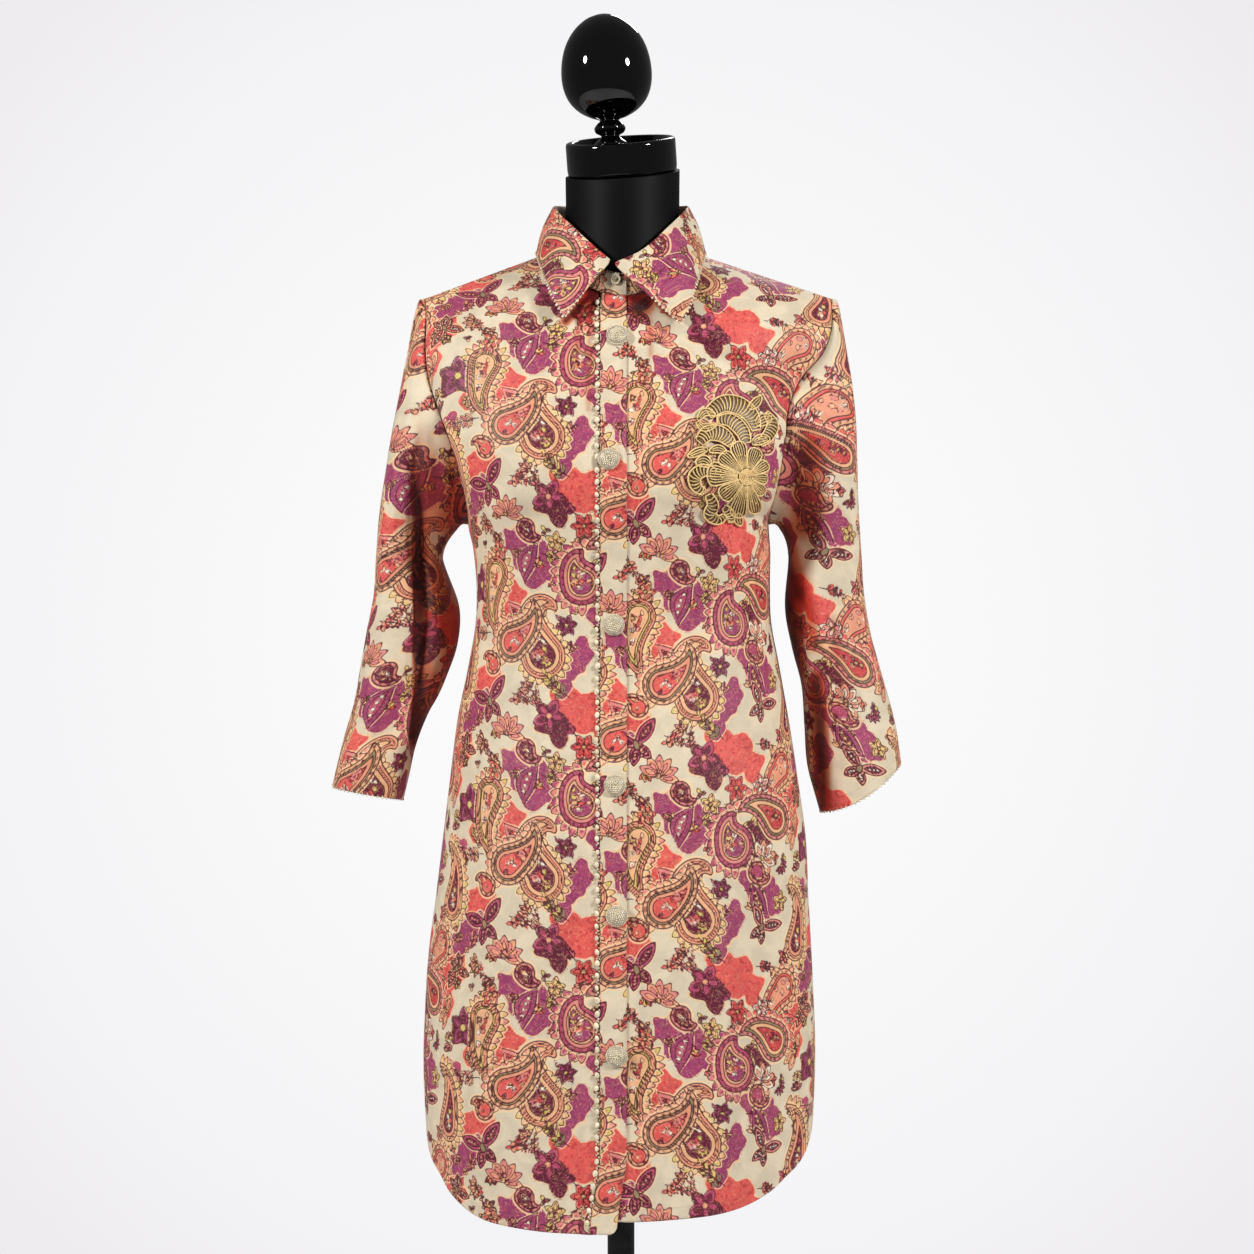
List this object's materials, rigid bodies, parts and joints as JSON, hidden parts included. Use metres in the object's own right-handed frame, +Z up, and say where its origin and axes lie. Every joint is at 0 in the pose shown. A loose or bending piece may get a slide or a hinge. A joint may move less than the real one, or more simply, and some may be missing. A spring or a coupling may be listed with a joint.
{
  "type": "shirt dress on a dress form",
  "caption": "Knee-length printed shirt dress, buttoned down the front, with three-quarter sleeves and a curved hem, on a black limbless dress form with a pole and round base.",
  "frame": {"origin": "on the floor under the middle of the pole, at the centre of the base's flat underside", "axes": "+Z up along the pole; the front of the dress faces -Y and the wearer's right is at -X"},
  "size_m": [0.5289, 0.33, 1.6229],
  "materials": {
    "printed_cloth": "soft matte print",
    "pearl_beads": "pearly",
    "gold_thread": "metallic thread",
    "black_jersey": "matte knit",
    "black_gloss": "high gloss",
    "black_paint": "satin"
  },
  "bodies": {
    "root": {"right_front": "printed_cloth", "left_front": "printed_cloth", "back": "printed_cloth", "right_sleeve": "printed_cloth", "left_sleeve": "printed_cloth", "collar": "printed_cloth", "collar_stand": "printed_cloth", "button_band": "printed_cloth", "bead_trim": "pearl_beads", "button_1": "pearl_beads", "button_2": "pearl_beads", "button_3": "pearl_beads", "button_4": "pearl_beads", "button_5": "pearl_beads", "button_6": "pearl_beads", "stand_button": "pearl_beads", "sewn_flower": "gold_thread", "form_torso": "black_jersey", "form_neck_cap": "black_gloss", "form_finial": "black_gloss", "form_pole": "black_paint", "form_base": "black_paint"}
  },
  "joints": []
}
